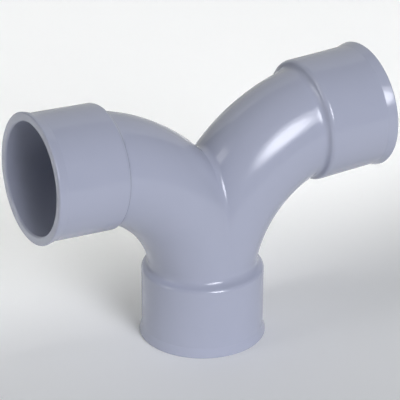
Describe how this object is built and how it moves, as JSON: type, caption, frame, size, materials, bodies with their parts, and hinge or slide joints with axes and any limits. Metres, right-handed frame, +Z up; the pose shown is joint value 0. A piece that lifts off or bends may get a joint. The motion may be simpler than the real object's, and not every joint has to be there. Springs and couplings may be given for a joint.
{
  "type": "double elbow pipe fitting",
  "caption": "Double elbow for waste pipe: one inlet socket splits back to back into two swept 87.5 degree bends, each ending in a socket.",
  "frame": {"origin": "centre of the inlet socket's mouth, in the plane the fitting stands on", "axes": "+Z up along the inlet's axis, +X towards one outlet (the other faces -X), +Y across the bends"},
  "size_m": [0.1396, 0.047, 0.1005],
  "materials": {
    "grey_pvcu": "injection-moulded PVC-U, cool light grey all through, with a soft gloss"
  },
  "bodies": {
    "root": {"double_elbow": "grey_pvcu"}
  },
  "joints": []
}
